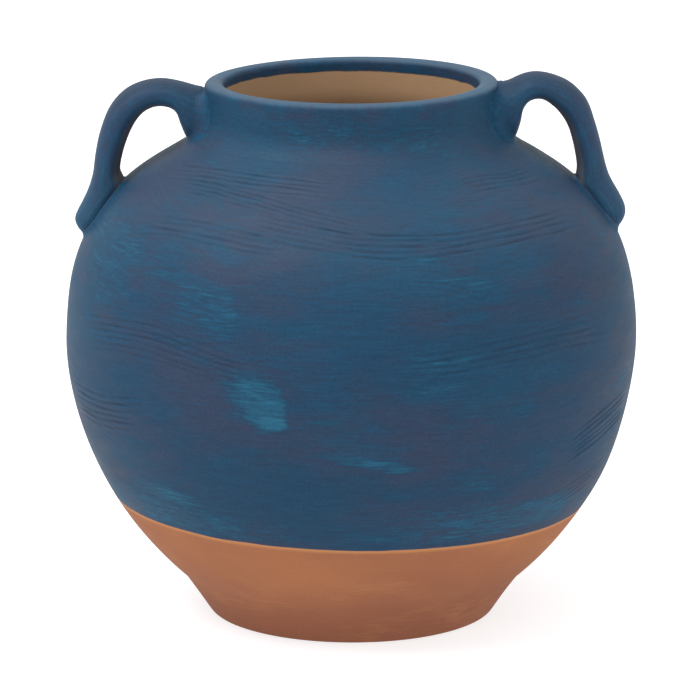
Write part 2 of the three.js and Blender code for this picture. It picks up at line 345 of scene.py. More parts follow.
def comb_cut(azimuth, rise, section):
    """How deep the comb has gone in, 1 at the bottom of a firm groove and below 0 on the clay it raised."""
    chance = np.random.default_rng(COMB_SEED)
    cut_and_shade = np.zeros_like(rise)
    blur = np.full(2 * STROKE_BLUR + 1, 1 / (2 * STROKE_BLUR + 1))
    for path, tines, spacing_mm, press in COMB_STROKES:
        bearings = np.radians([step[0] for step in path])
        levels = section.rise(np.array([step[1] for step in path]) * MM)
        middle = (bearings[0] + bearings[-1]) / 2
        half = (bearings[-1] - bearings[0]) / 2
        away = turned_from(azimuth, middle)
        even = np.linspace(-half, half, STROKE_STEPS)
        drawn = np.interp(even, bearings - middle, levels)
        drawn = np.pad(drawn, STROKE_BLUR, mode="reflect", reflect_type="odd")
        soft = np.convolve(drawn, blur, mode="valid")
        for tine in range(tines):
            offset = ((tine - (tines - 1) / 2) * spacing_mm + chance.uniform(-TINE_PLAY_MM, TINE_PLAY_MM)) * MM
            starts, ends = -half * chance.uniform(0.8, 1.0), half * chance.uniform(0.75, 1.0)
            depth = press * chance.uniform(0.65, 1.1)
            wave = chance.uniform(0, 6)
            near = (away > starts) & (away < ends)
            line = np.interp(away[near], even, soft) + offset + TINE_WAVE * np.sin(away[near] * 17 + wave)
            gap = np.abs(rise[near] - line)
            fade = smooth((away[near] - starts) / 0.14) * smooth((ends - away[near]) / 0.16)
            fade *= 0.8 + 0.2 * np.sin(away[near] * 23 + 2 * wave)
            raised = np.exp(-(((gap - RAISED_EDGE) / TINE_WIDTH) ** 2))
            groove = np.exp(-((gap / TINE_WIDTH) ** 2)) - RAISED_SHARE * raised
            cut_and_shade[near] += depth * fade * groove
    return np.clip(cut_and_shade, *CUT_LIMITS)


def rubbing(azimuth, rise, section):
    """How much of the top coat is rubbed away, 0 to about 1."""
    rubbed = np.zeros_like(rise)
    for middle, height_mm, half_width, half_height_mm, strength, crisp, climb_mm in RUBS:
        across = turned_from(azimuth, math.radians(middle)) / math.radians(half_width)
        level = section.rise(height_mm * MM) + climb_mm * MM * across
        up = (rise - level) / (half_height_mm * MM)
        end = 1 - 0.4 * up**2
        softness = 0.9 - 0.78 * crisp
        sides = smooth((across + 1.25) / 1.2) * smooth((end - across) / softness + 0.5 * crisp)
        rubbed = np.maximum(rubbed, strength * sides * smooth(1.35 - np.abs(up)))
    return rubbed


# Where the thrown wall stands out or falls in: azimuth, height in mm, how far in mm, then how far round in
# degrees and how far up in mm that reaches.
SWELLS = (
    (82, 67, 1.35, 50, 19),
    (75, 30, 0.9, 50, 22),
    (-82, 180, -0.85, 45, 20),
    (48, 0, 1.0, 60, 8),
    (-60, 0, 0.6, 50, 9),
    (86, 140, 0.2, 45, 30),
)


SWELL_FADES_IN = 60 * MM
RIM_TIP = 0.0115


def ripple(points, seed, size, reach):
    """A smooth swell of about plus or minus `reach`, with waves of about `size`, the same each time."""
    chance = np.random.default_rng(seed)
    total = np.zeros(len(points))
    for _ in range(6):
        direction = chance.normal(size=3)
        direction *= 2 * math.pi / (np.linalg.norm(direction) * size * chance.uniform(0.7, 1.4))
        total += np.sin(points @ direction + chance.uniform(0, 6.28))
    return total * reach / 2.4


def hand_shift(points, sizes):
    """Moves points in or out the way a thrown body wanders, and tips the back of the rim."""
    radius = np.maximum(np.hypot(points[:, 0], points[:, 1]), 1e-9)
    swell = ripple(points, 5, 0.16, 0.28 * MM) + ripple(points * (0.4, 0.4, 3), 6, 0.11, 0.10 * MM)
    azimuth = np.arctan2(points[:, 0], -points[:, 1])
    for middle, height_mm, reach_mm, half_turn, half_height_mm in SWELLS:
        across = np.degrees(turned_from(azimuth, math.radians(middle))) / half_turn
        up = (points[:, 2] / MM - height_mm) / half_height_mm
        swell += reach_mm * MM * np.exp(-(across**2) - up**2)
    swell *= np.clip(radius / SWELL_FADES_IN, 0, 1)
    points[:, :2] *= ((radius + swell) / radius)[:, None]
    behind = 0.5 + 0.5 * points[:, 1] / radius
    lift = smooth((points[:, 2] - sizes.shoulder_height) / (sizes.rim_height - sizes.shoulder_height))
    points[:, 2] += RIM_TIP * points[:, 0] * behind * lift * (radius < sizes.neck_radius * 1.02)
    return points


# ---- Meshes --------------------------------------------------------------------------------------

WEDGES = 12
WELD_DISTANCE = 0.5e-6
CREASE_ANGLE = math.radians(38)
BRUSH_RADIUS = 120 * MM


def read_points(mesh):
    flat = np.empty(len(mesh.vertices) * 3)
    mesh.vertices.foreach_get("co", flat)
    return flat.reshape(-1, 3)


def note(mesh, name, values):
    """Stores a number or a direction for each point, for the materials to read."""
    kind, field = ("FLOAT_VECTOR", "vector") if values.ndim == 2 else ("FLOAT", "value")
    layer = mesh.attributes.new(name, kind, "POINT")
    layer.data.foreach_set(field, values.astype(np.float32).ravel())


def spun(outline, closed, turns):
    """Turns an outline of (radius, height) points into a wedge, then repeats the wedge all the way round."""
    bm = bmesh.new()
    corners = [bm.verts.new((radius, 0, height)) for radius, height in outline]
    pairs = list(zip(corners, corners[1:])) + ([(corners[-1], corners[0])] if closed else [])
    edges = [bm.edges.new(pair) for pair in pairs]
    axis = {"cent": (0, 0, 0), "axis": (0, 0, 1), "dvec": (0, 0, 0)}
    wedge = 2 * math.pi / WEDGES
    bmesh.ops.spin(bm, geom=corners + edges, angle=wedge, steps=round(turns / WEDGES), **axis)
    bmesh.ops.spin(
        bm, geom=bm.verts[:] + bm.edges[:] + bm.faces[:], angle=2 * math.pi - wedge, steps=WEDGES - 1,
        use_duplicate=True, **axis,
    )
    bmesh.ops.remove_doubles(bm, verts=bm.verts, dist=WELD_DISTANCE)
    bmesh.ops.recalc_face_normals(bm, faces=bm.faces)
    return bm


def brush_run(azimuth, rise):
    """Where the brush has got to on the turning vase, as if it were the same width all the way up."""
    return np.column_stack([BRUSH_RADIUS * np.sin(azimuth), -BRUSH_RADIUS * np.cos(azimuth), rise])


def body_marks(mesh, sizes, section):
    """Presses the comb's grooves into a turned mesh, lets the wall wander and notes where things are."""
    points = read_points(mesh)
    radius = np.hypot(points[:, 0], points[:, 1])
    azimuth = np.arctan2(points[:, 0], -points[:, 1])
    height = points[:, 2].copy()
    rise = section.rise(height)
    inside = radius < section.radius(height) - 0.5 * sizes.wall
    inside &= height < sizes.rim_height - 1.2 * sizes.lip_round
    outside = radius > section.radius(height) - 0.1 * MM
    outside &= (height > sizes.paint_height + 2 * MM) & (height < section.collar_top)
    cut_and_shade = np.where(outside, comb_cut(azimuth, rise, section), 0)
    out, up = section.square(height)
    depth = cut_and_shade * sizes.comb_depth
    points[:, 0] -= np.sin(azimuth) * out * depth
    points[:, 1] += np.cos(azimuth) * out * depth
    points[:, 2] -= up * depth
    hand_shift(points, sizes)
    mesh.vertices.foreach_set("co", points.ravel())
    note(mesh, "brush", brush_run(azimuth, rise))
    note(mesh, "inside", inside.astype(float))
    note(mesh, "cut_and_shade", cut_and_shade)
    note(mesh, "rub", np.where(outside, rubbing(azimuth, rise, section), 0))
    note(mesh, "stain_and_shade", np.zeros(len(points)))


def to_piece(name, bm, material, slot, *replaced):
    """Makes a finished object from a closed shell and hands it to the frame."""
    mesh = bpy.data.meshes.new(name)
    bm.to_mesh(mesh)
    bm.free()
    mesh.materials.append(material)
    piece = bpy.data.objects.new(name, mesh)
    bpy.context.scene.collection.objects.link(piece)
    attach(piece, "root")
    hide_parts(*replaced)
    return piece


def soften(mesh):
    """Shades a mesh smooth up to the crease angle."""
    mesh.polygons.foreach_set("use_smooth", [True] * len(mesh.polygons))
    mesh.set_sharp_from_angle(angle=CREASE_ANGLE)
    mesh.update()


def turned_piece(name, outline, closed, material, slot, node, sizes, section):
    piece = to_piece(name, spun(outline, closed, sizes.turns), material, slot, node)
    body_marks(piece.data, sizes, section)
    soften(piece.data)
    return piece


# ---- Handles -------------------------------------------------------------------------------------

# Stations along each strap, from inside the neck to inside the shoulder: how far the top edge lies
# outward of the neck wall and below the rim, then the same for the edge that faces the body, in mm.
STRAPS = {
    "left": (-1, (
        (-4.7, 4.1, -2.2, 31.2), (0.6, 3.3, 1.2, 30.2), (4.3, 2.6, 7.4, 26.6), (10.1, 0.9, 10.7, 19.8),
        (15.6, -0.2, 12.4, 14.5), (20.9, -0.5, 16, 11.9), (27.3, 0.5, 21.5, 11.5), (33.9, 3.4, 26.5, 13.6),
        (39.4, 8.1, 30.3, 17.4), (44.1, 14.7, 33.2, 22.7), (47.6, 24, 35.4, 28.8), (49.9, 33.9, 37.1, 35.1),
        (51.1, 42.4, 38.1, 41.1), (53.3, 49.6, 36.7, 46.9), (56.3, 55.6, 41.7, 55.4), (59.2, 60.9, 45.7, 62.4),
        (59.7, 64.2, 47.8, 67.4), (57.6, 67.9, 49.3, 70.8), (53.4, 70.6, 50.6, 71.6),
    )),
    "right": (1, (
        (-4.7, 3, -2, 31), (0.3, 1.2, 1.4, 30), (4.3, 0.3, 7.2, 26.2), (8.7, -1.6, 10, 19),
        (13.1, -3.1, 11.2, 12.7), (18, -3.6, 14.4, 8.7), (24.4, -2.5, 19.8, 7.9), (31.2, 0.4, 25.2, 11.1),
        (36.4, 4.7, 29.3, 15.7), (40.6, 10.2, 32.1, 21.1), (44, 18.8, 34, 27.4), (46.3, 26.7, 35.4, 33.8),
        (48.2, 34.5, 36.1, 39.7), (50, 41.2, 35.4, 45.9), (52.1, 45.9, 35.7, 47.4), (55.3, 51.6, 40.2, 53.9),
        (57.9, 57.2, 44.6, 60.8), (58.1, 61.4, 46.8, 65.4), (55.9, 65.3, 48.1, 68.8), (52, 68.6, 49, 70.2),
    )),
}
# How rubbed a lute is, and how much brown it takes, partly stain and partly painted shade,
# from the strap across the fillet to the body, then underneath.
LUTE_RUB = (0.1, 0.1, 0.2, 0.3, 0.38, 0.4, 0.3, 0)
LUTE_STAIN_AND_SHADE = (0.4, 0.5, 0.5, 0.35, 0.15, 0, 0, 0)
STRAP_SPLITS = 5
STRAP_SIDES = 40
STRAP_SQUARENESS = 2.35
UPPER_ROOT_WIDTH = 1.14
LOWER_ROOT_WIDTH = 1.04
TIP_WIDTH = 0.5


def through(rows, splits):
    """Fills in a smooth run of rows through the given ones."""
    rows = np.array(rows, float)
    padded = np.vstack([2 * rows[0] - rows[1], rows, 2 * rows[-1] - rows[-2]])
    filled = []
    for before, here, after, beyond in zip(padded, padded[1:], padded[2:], padded[3:]):
        for t in np.arange(splits) / splits:
            filled.append(0.5 * (
                2 * here + (after - before) * t + (2 * before - 5 * here + 4 * after - beyond) * t**2
                + (3 * here - before - 3 * after + beyond) * t**3
            ))
    return np.array(filled + [rows[-1]])


def strap_rings(side, stations, sizes):
    """The strap's cross-sections from the neck to the shoulder, as (ring, point, xyz)."""
    rows = through(stations, STRAP_SPLITS) * MM
    count = len(rows)
    top = np.column_stack([sizes.neck_radius + rows[:, 0], np.zeros(count), sizes.rim_height - rows[:, 1]])
    under = np.column_stack([sizes.neck_radius + rows[:, 2], np.zeros(count), sizes.rim_height - rows[:, 3]])
    middle, half = (top + under) / 2, (top - under) / 2
    share = np.linspace(0, 1, count)
    widths = np.interp(
        share, [0, 0.12, 0.3, 0.72, 0.83, 0.89, 0.945, 1],
        [UPPER_ROOT_WIDTH, UPPER_ROOT_WIDTH, 1.0, 1.0, LOWER_ROOT_WIDTH, 0.97, 0.8, TIP_WIDTH],
    ) * sizes.strap_width / 2
    angles = np.linspace(0, 2 * math.pi, STRAP_SIDES, endpoint=False)
    power = 2 / STRAP_SQUARENESS
    out = np.sign(np.cos(angles)) * np.abs(np.cos(angles)) ** power
    across = np.sign(np.sin(angles)) * np.abs(np.sin(angles)) ** power
    rings = middle[:, None, :] + half[:, None, :] * out[None, :, None]
    rings[:, :, 1] += widths[:, None] * across[None, :]
    flat = rings.reshape(-1, 3) * (side, 1, 1)
    centre = np.repeat(middle, STRAP_SIDES, axis=0) * (side, 1, 1)
    away = flat - centre
    size = np.maximum(np.linalg.norm(away, axis=1), 1e-9)
    swell = ripple(flat, 21 + side, 0.05, 0.22 * MM) + ripple(flat, 31 + side, 0.018, 0.07 * MM)
    flat = flat + away * (swell / size)[:, None]
    return flat.reshape(rings.shape), out


def shifted(rings, sizes):
    """The same rings after the wall they stand on has wandered."""
    rings = np.array(rings)
    return hand_shift(rings.reshape(-1, 3), sizes).reshape(rings.shape)


def loop_of(bm, points):
    """One closed loop of edges, as many as there are points."""
    made = bmesh.ops.create_circle(bm, segments=len(points), radius=1)["verts"]
    for vert, place in zip(made, points):
        vert.co = place
    return list({edge for vert in made for edge in vert.link_edges})


def lofted(rings, closed):
    """Joins a run of rings into one closed shell, end to end or with its two ends filled."""
    bm = bmesh.new()
    loops = [loop_of(bm, ring) for ring in rings]
    pairs = list(zip(loops, loops[1:])) + ([(loops[-1], loops[0])] if closed else [])
    for here, after in pairs:
        bmesh.ops.bridge_loops(bm, edges=here + after)
    if not closed:
        bmesh.ops.holes_fill(bm, edges=loops[0] + loops[-1], sides=0)
    bmesh.ops.recalc_face_normals(bm, faces=bm.faces)
    if bm.calc_volume(signed=True) < 0:
        bmesh.ops.reverse_faces(bm, faces=bm.faces)
    return bm


def handle_marks(mesh, rings, out):
    """Notes the run of the brush along a strap, and the brown on the side that faces the body, partly staining
    and partly painted shade.
    """
    steps = np.linalg.norm(np.diff(rings.mean(axis=1), axis=0), axis=1)
    along = np.concatenate([[0], np.cumsum(steps)])
    share = along / along[-1]
    count = rings.shape[1]
    brush = np.column_stack([
        np.repeat(along, count), np.zeros(rings.shape[0] * count),
        rings[:, :, 1].ravel() + 0.009 * np.tile(out, len(rings)),
    ])
    # Painted shade as well as stain on the side that faces the body, stronger towards the lower root; every
    # face gets at least a little.
    facing = smooth((-np.tile(out, len(rings)) - 0.15) / 0.7)
    under = np.interp(share, [0.1, 0.22, 0.5, 0.86, 1], [0.1, 0.65, 0.8, 1.0, 0.9])
    note(mesh, "brush", brush)
    note(mesh, "stain_and_shade", np.maximum(facing * np.repeat(under, count), 0.34))
    rub = np.interp(share, [0, 0.18, 0.3, 0.7, 0.86, 1], [0.4, 0.3, 0.2, 0.3, 0.4, 0.5])
    note(mesh, "rub", np.repeat(rub, count) * (1 - 0.6 * facing))
    # Painted shade: the strap's top is darkened, most along the upper arch, through the same attribute as the
    # comb grooves.
    over = np.interp(share, [0, 0.34, 0.6, 1], [1.2, 1.2, 0.3, 0.1])
    note(mesh, "cut_and_shade", smooth(np.tile(out, len(rings))) * np.repeat(over, count))
    note(mesh, "inside", np.zeros(len(mesh.vertices)))


def along_line(line, start, distance):
    """The point a given distance on from a fractional place on a line of points."""
    whole = int(start)
    here = line[whole] + (line[min(whole + 1, len(line) - 1)] - line[whole]) * (start - whole)
    for after in line[whole + 1:]:
        step = np.linalg.norm(after - here)
        if step >= distance:
            return here + (after - here) * distance / max(step, 1e-9)
        here, distance = after, distance - step
    return here


def lute_rings(rings, section, sizes, spread):
    """Sections of the smoothed clay around a strap's root. The rings start inside the wall."""
    outward = np.hypot(rings[:, :, 0], rings[:, :, 1]) - section.radius(rings[:, :, 2])
    crossings = []
    for point in range(rings.shape[1]):
        first = int(np.argmax(outward[:, point] > 0))
        below, above = outward[first - 1, point], outward[first, point]
        crossings.append(first - 1 + below / (below - above))
    feet = np.array([along_line(rings[:, point], place, 0) for point, place in enumerate(crossings)])
    centre = feet.mean(axis=0)
    sections = []
    for point, (place, foot) in enumerate(zip(crossings, feet)):
        out, up = section.square(foot[2])
        round_it = foot[:2] / np.linalg.norm(foot[:2])
        square = np.array([*(round_it * out), up])
        away = foot - centre
        away -= square * (away @ square)
        away /= np.linalg.norm(away)
        room = (section.collar_top - 0.4 * MM - foot[2]) / max(away[2], 0.05)
        broad = 0.2 + 0.8 * abs(away[1])
        reach = broad * spread * float(np.clip(room / (broad * spread), 0.12, 1))
        on_strap = along_line(rings[:, point], place, reach)
        on_body = foot + away * reach
        on_body[:2] *= (section.radius(on_body[2]) - 0.06 * MM) / np.linalg.norm(on_body[:2])
        curve = bezier(on_strap, foot + 0.5 * MM * square, on_body, count=7)
        sections.append(list(curve) + [foot - square * 1.3 * MM - away * 0.6 * MM])
    return sections


# ---- Materials -----------------------------------------------------------------------------------


class Amount:
    """A number that varies over a surface. Sums on it add the nodes that work them out."""

    def __init__(self, recipe, socket):
        self.recipe, self.socket = recipe, socket

    def maths(self, operation, first, second):
        return self.recipe.node("Math", {"operation": operation}, {0: first, 1: second})

    def __add__(self, other):
        return self.maths("ADD", self, other)

    def __sub__(self, other):
        return self.maths("SUBTRACT", self, other)

    def __rsub__(self, other):
        return self.maths("SUBTRACT", other, self)

    def __mul__(self, other):
        return self.maths("MULTIPLY", self, other)

    __radd__ = __add__
    __rmul__ = __mul__


SHEEN = 0.15
# The straps' and lutes' paint is brightened by this much: painted light for their sides.
HANDLE_PAINTED_LIGHT = 1.15


class Recipe:
    """The node tree of one material."""

    def __init__(self, name):
        self.material = bpy.data.materials.new(name)
        self.material.use_nodes = True
        self.tree = self.material.node_tree
        self.tree.nodes.clear()

    def node(self, kind, settings=None, inputs=None, output=0):
        """Adds a shader node: its settings first, then the values or links of its sockets."""
        made = self.tree.nodes.new("ShaderNode" + kind)
        for name, value in (settings or {}).items():
            setattr(made, name, value)
        for key, value in (inputs or {}).items():
            if isinstance(value, Amount):
                self.tree.links.new(value.socket, made.inputs[key])
            else:
                made.inputs[key].default_value = value
        return Amount(self, made.outputs[output]) if made.outputs else None

    def attribute(self, name, output="Fac"):
        return self.node("Attribute", {"attribute_name": name}, output=output)

    def place(self):
        return self.node("TexCoord", output="Object")

    def stretched(self, vector, x, y, z):
        return self.node("VectorMath", {"operation": "MULTIPLY"}, {0: vector, 1: (x, y, z)})

    def noise(self, vector, detail=2.0, roughness=0.5):
        return self.node(
            "TexNoise", {}, {"Vector": vector, "Scale": 1.0, "Detail": detail, "Roughness": roughness}
        )

    def ramp(self, amount, low, high):
        """0 below the low end and 1 above the high end, smooth between."""
        return self.node(
            "MapRange", {"interpolation_type": "SMOOTHSTEP"},
            {"Value": amount, "From Min": low, "From Max": high},
        )

    def blend(self, share, first, second):
        """Mixes two colours, each a plain one or one worked out by nodes."""
        first, second = (shade if isinstance(shade, Amount) else (*shade, 1.0) for shade in (first, second))
        return self.node("Mix", {"data_type": "RGBA"}, {0: share, 6: first, 7: second}, output=2)

    def dimmed(self, shade, amount):
        return self.node("VectorMath", {"operation": "SCALE"}, {0: shade, "Scale": amount})

    def surface(self, shade, roughness, relief_mm, glow=0.0):
        """Ends the tree in a plain shader and returns the material."""
        bump = self.node("Bump", {}, {"Strength": 1.0, "Distance": MM, "Height": relief_mm})
        shader = self.node("BsdfPrincipled", {}, {
            "Base Color": shade, "Roughness": roughness, "Normal": bump, "Specular IOR Level": SHEEN,
            "Emission Color": (1, 1, 1, 1), "Emission Strength": glow,
        })
        self.node("OutputMaterial", {}, {"Surface": shader})
        return self.material


def brushed(recipe):
    """The noises that follow the brush: broad clouds, drifts, bristle streaks and hairlines."""
    brush = recipe.attribute("brush", "Vector")
    wander = recipe.noise(recipe.stretched(brush, 16, 16, 30))
    lift = recipe.node("CombineXYZ", {}, {"Z": (wander - 0.5) * 0.006})
    bent = recipe.node("VectorMath", {"operation": "ADD"}, {0: brush, 1: lift})
    return {
        "cloud": recipe.noise(recipe.stretched(brush, 10, 10, 20), 2.5, 0.5),
        "veil": recipe.noise(recipe.stretched(bent, 15, 15, 34), 2.5, 0.55),
        "drift": recipe.noise(recipe.stretched(bent, 45, 45, 120), 3.0, 0.6),
        "streak": recipe.noise(recipe.stretched(bent, 60, 60, 700), 3.0, 0.65),
        "hair": recipe.noise(recipe.stretched(bent, 170, 170, 1700), 2.0, 0.6),
    }


def paint_layer(recipe, colours, marks, painted_light_gain=1.0):
    """Matt blue paint, brushed on and rubbed back."""
    cloud, veil, drift, streak, hair = (marks[name] for name in ("cloud", "veil", "drift", "streak", "hair"))
    bluer = recipe.ramp(cloud + 0.3 * (drift - 0.5) + 0.12 * (streak - 0.5), 0.38, 0.63)
    shade = recipe.blend(bluer, colours.violet, colours.blue)
    greener = recipe.ramp(veil + 0.25 * (streak - 0.5) + 0.3 * (drift - 0.5), 0.47, 0.76)
    shade = recipe.blend(0.75 * greener, shade, colours.teal)
    rub = recipe.attribute("rub") + 1.3 * (streak - 0.5) + 1.0 * (hair - 0.5) + 0.8 * (drift - 0.5)
    shade = recipe.blend(0.9 * recipe.ramp(rub, 0.05, 0.75), shade, colours.teal)
    shade = recipe.blend(0.8 * recipe.ramp(rub, 0.42, 1.35), shade, colours.rubbed)
    # Painted shade: darker in the comb grooves and on the straps' tops; painted light on the clay the comb
    # raised.
    cut_and_shade = recipe.attribute("cut_and_shade")
    place = recipe.place()
    grain = recipe.noise(recipe.stretched(place, 900, 900, 900), 2.0, 0.6)
    light = 1.0 + 0.45 * (streak - 0.5) + 0.4 * (hair - 0.5) + 0.55 * (grain - 0.5) - 0.23 * cut_and_shade
    # On the handles the factor brightens the paint as painted light.
    shade = recipe.dimmed(shade, painted_light_gain * light)
    # Brown mixed in where the attribute asks: partly stain, partly painted shade in the handles' corners and
    # root creases.
    stain_and_shade = recipe.ramp(recipe.attribute("stain_and_shade") + 0.5 * (drift - 0.5), 0.25, 0.95)
    shade = recipe.blend(0.6 * stain_and_shade, shade, colours.seam)
    roughness = 0.6 + 0.2 * (drift - 0.5) + 0.15 * (streak - 0.5)
    relief = 0.16 * streak + 0.05 * hair + 0.10 * drift + 0.05 * grain
    return shade, roughness, relief


def clay_layer(recipe, colours, marks, height_mm):
    """Fired clay, wiped smooth: faint turning lines, redder patches and fine grain, and darker and redder
    towards the foot, partly as painted shade.
    """
    place = recipe.place()
    grain = recipe.noise(recipe.stretched(place, 900, 900, 900), 3.0, 0.7)
    patch = recipe.ramp(marks["cloud"] + 0.5 * (marks["streak"] - 0.5), 0.34, 0.74)
    shade = recipe.blend(0.6 * patch, colours.clay, colours.clay_red_and_shade)
    # Darker and redder towards the foot: partly the clay's own colour, partly painted shade.
    low = recipe.ramp(height_mm + 16 * (marks["veil"] - 0.5), 38, 4)
    shade = recipe.blend(0.85 * low, shade, colours.clay_red_and_shade)
    pale = recipe.ramp(marks["veil"] + 0.6 * (marks["streak"] - 0.5), 0.5, 0.8)
    shade = recipe.blend(0.16 * pale, shade, colours.clay_pale)
    shade = recipe.dimmed(shade, 1.0 + 0.26 * (marks["streak"] - 0.5) + 0.3 * (grain - 0.5))
    relief = 0.06 * marks["streak"] + 0.05 * grain + 0.06 * marks["drift"]
    return shade, 0.82 + 0.15 * (grain - 0.5), relief


def slip_layer(recipe, colours, marks):
    """The smooth pale slip that lines the inside."""
    light = 1.0 + 0.22 * (marks["cloud"] - 0.5) + 0.10 * (marks["streak"] - 0.5)
    shade = recipe.dimmed(colours.slip[:], light)
    return shade, 0.7 + 0.1 * (marks["drift"] - 0.5), 0.05 * marks["streak"] + 0.05 * marks["drift"]


def layered(recipe, share, under, over):
    """One layer of colour, roughness and relief over another."""
    shade = recipe.blend(share, under[0], over[0])
    return (shade, *(low * (1 - share) + high * share for low, high in zip(under[1:], over[1:])))


# How the paint line climbs across the vase, how far the paint reaches in over the lip, and the heights in
# mm between which the painted sheen on the shoulder, paler paint standing in for light from above,
# comes in and fades out.
PAINT_TILT = 0.0185
PAINT_BAND_INSIDE_MM = 5.6
PAINTED_SHEEN_GATHERS_MM = (165, 207)
PAINTED_SHEEN_ENDS_MM = (238, 220)


def made_once(build):
    """Hands back a material that an earlier piece has already made, or makes it."""
    def fetch(name, *details):
        return bpy.data.materials.get(name) or build(name, *details)
    return fetch


@made_once
def painted_skin(name, sizes, colours):
    """Paint above its line, clay below it, and slip inside under the lip's painted band."""
    recipe = Recipe(name)
    marks = brushed(recipe)
    place = recipe.node("SeparateXYZ", {}, {0: recipe.place()})
    across_mm = 1000 * place
    height_mm = 1000 * Amount(recipe, place.socket.node.outputs[2])
    paint = paint_layer(recipe, colours, marks)
    clay = clay_layer(recipe, colours, marks, height_mm)
    slip = slip_layer(recipe, colours, marks)
    rim_mm = sizes.rim_height / MM
    handled = recipe.ramp(height_mm + 1.2 * (marks["drift"] - 0.5), rim_mm - 1.8, rim_mm)
    # Painted sheen: a band of the shoulder made paler, standing in for light from above.
    painted_sheen = recipe.ramp(height_mm + 12 * (marks["veil"] - 0.5), *PAINTED_SHEEN_GATHERS_MM)
    painted_sheen = painted_sheen * recipe.ramp(height_mm, *PAINTED_SHEEN_ENDS_MM)
    paint = (recipe.blend(0.4 * handled + 0.07 * painted_sheen, paint[0], colours.wear_and_sheen), paint[1], paint[2])
    edge = 0.9 * (marks["drift"] - 0.5) + 0.5 * (marks["cloud"] - 0.5)
    above = height_mm + PAINT_TILT * across_mm + edge - sizes.paint_height / MM
    washed = recipe.ramp(above, -2.4, -0.4)
    clay = (recipe.blend(0.55 * washed, clay[0], colours.clay_pale), clay[1], clay[2])
    skin = layered(recipe, recipe.ramp(above, -0.2, 0.2), clay, paint)
    band = height_mm + 1.6 * (marks["cloud"] - 0.5) + 1.2 * (marks["drift"] - 0.5)
    band_edge = rim_mm - PAINT_BAND_INSIDE_MM
    lined = recipe.attribute("inside") * (1 - recipe.ramp(band, band_edge - 0.35, band_edge + 0.35))
    return recipe.surface(*layered(recipe, lined, skin, slip))


@made_once
def bare_clay(name, colours):
    """Clay outside and slip inside, for the foot."""
    recipe = Recipe(name)
    marks = brushed(recipe)
    place = recipe.node("SeparateXYZ", {}, {0: recipe.place()}, 2)
    clay = clay_layer(recipe, colours, marks, 1000 * place)
    slip = slip_layer(recipe, colours, marks)
    return recipe.surface(*layered(recipe, recipe.attribute("inside"), clay, slip))


@made_once
def handle_paint(name, colours):
    """The same paint, a little brighter as painted light, for the straps and their lutes."""
    recipe = Recipe(name)
    return recipe.surface(*paint_layer(recipe, colours, brushed(recipe), HANDLE_PAINTED_LIGHT))


# ---- Operators -----------------------------------------------------------------------------------


def settings(context):
    sizes, colours = context.scene.vase_sizes, context.scene.vase_colours
    return sizes, colours, Section(sizes)


class VASE_OT_foot(bpy.types.Operator):
    """Turns the foot: a low cone with a recessed underside and the floor of the vase"""

    bl_idname = "vase.foot"
    bl_label = "Foot"

    def execute(self, context):
        sizes, colours, section = settings(context)
        ring_inside = sizes.foot_radius - sizes.foot_ring_width
        floor_height = sizes.foot_recess + sizes.floor_thickness
        seat = float(section.inner_radius(sizes.foot_height))
        recess = bezier(
            (ring_inside - 1.3 * sizes.foot_recess, sizes.foot_recess),
            (ring_inside - 0.8 * sizes.foot_recess, sizes.foot_recess),
            (ring_inside - 0.4 * sizes.foot_recess, 0),
            (ring_inside + 0.6 * MM, 0), count=9,
        )
        hollow = bezier(
            (seat, sizes.foot_height), (seat - 4 * MM, floor_height), (seat - 15 * MM, floor_height), count=9,
        )
        centre = np.linspace(hollow[-1][0], 0, 10)[1:]
        outline = [(radius, sizes.foot_recess) for radius in np.linspace(0, recess[0][0], 8)[:-1]]
        outline += [tuple(row) for row in recess]
        outline += section.outside(0, sizes.foot_height)
        outline += [tuple(row) for row in hollow]
        outline += [(radius, floor_height) for radius in centre]
        turned_piece(
            "vase_foot", outline, False, bare_clay("Bare clay", colours), "bare_clay", "foot", sizes, section
        )
        return {"FINISHED"}


class VASE_OT_wall(bpy.types.Operator):
    """Turns the wall in three bands: bare clay up to the paint line, the belly and the shoulder"""

    bl_idname = "vase.wall"
    bl_label = "Wall"

    def execute(self, context):
        sizes, colours, section = settings(context)
        for name, low, high, slot in (
            ("lower_body", sizes.foot_height, sizes.paint_height, "bare_clay"),
            ("belly", sizes.paint_height, sizes.girth_height, "blue_paint"),
            ("shoulder", sizes.girth_height, sizes.shoulder_height, "blue_paint"),
        ):
            turned_piece(
                f"vase_{name}", section.band(low, high), True,
                painted_skin("Painted clay", sizes, colours), slot, name, sizes, section,
            )
        return {"FINISHED"}


class VASE_OT_neck(bpy.types.Operator):
    """Turns the collar with its hollow base and its rounded, slightly crowned lip"""

    bl_idname = "vase.neck"
    bl_label = "Neck"

    def execute(self, context):
        sizes, colours, section = settings(context)
        mouth = sizes.neck_radius - sizes.wall
        turn = np.linspace(0, math.pi / 2, 9)[1:]
        outer_edge = np.column_stack([
            sizes.neck_radius - sizes.lip_round * (1 - np.cos(turn)),
            section.collar_top + sizes.lip_round * np.sin(turn),
        ])
        inner_edge = np.column_stack([
            mouth + sizes.lip_round * (1 - np.sin(turn)),
            section.collar_top + sizes.lip_round * np.cos(turn),
        ])
        flat = bezier(
            outer_edge[-1], ((sizes.neck_radius + mouth) / 2, sizes.rim_height + 2 * sizes.lip_crown),
            (mouth + sizes.lip_round, sizes.rim_height), count=8,
        )
        outline = section.outside(sizes.shoulder_height, section.collar_top)
        outline += [tuple(row) for row in (*outer_edge, *flat[1:], *inner_edge)]
        outline += section.inside(sizes.shoulder_height, section.collar_top, 2 * MM)[1:]
        turned_piece(
            "vase_neck", outline, True, painted_skin("Painted clay", sizes, colours),
            "blue_paint", "neck", sizes, section,
        )
        return {"FINISHED"}


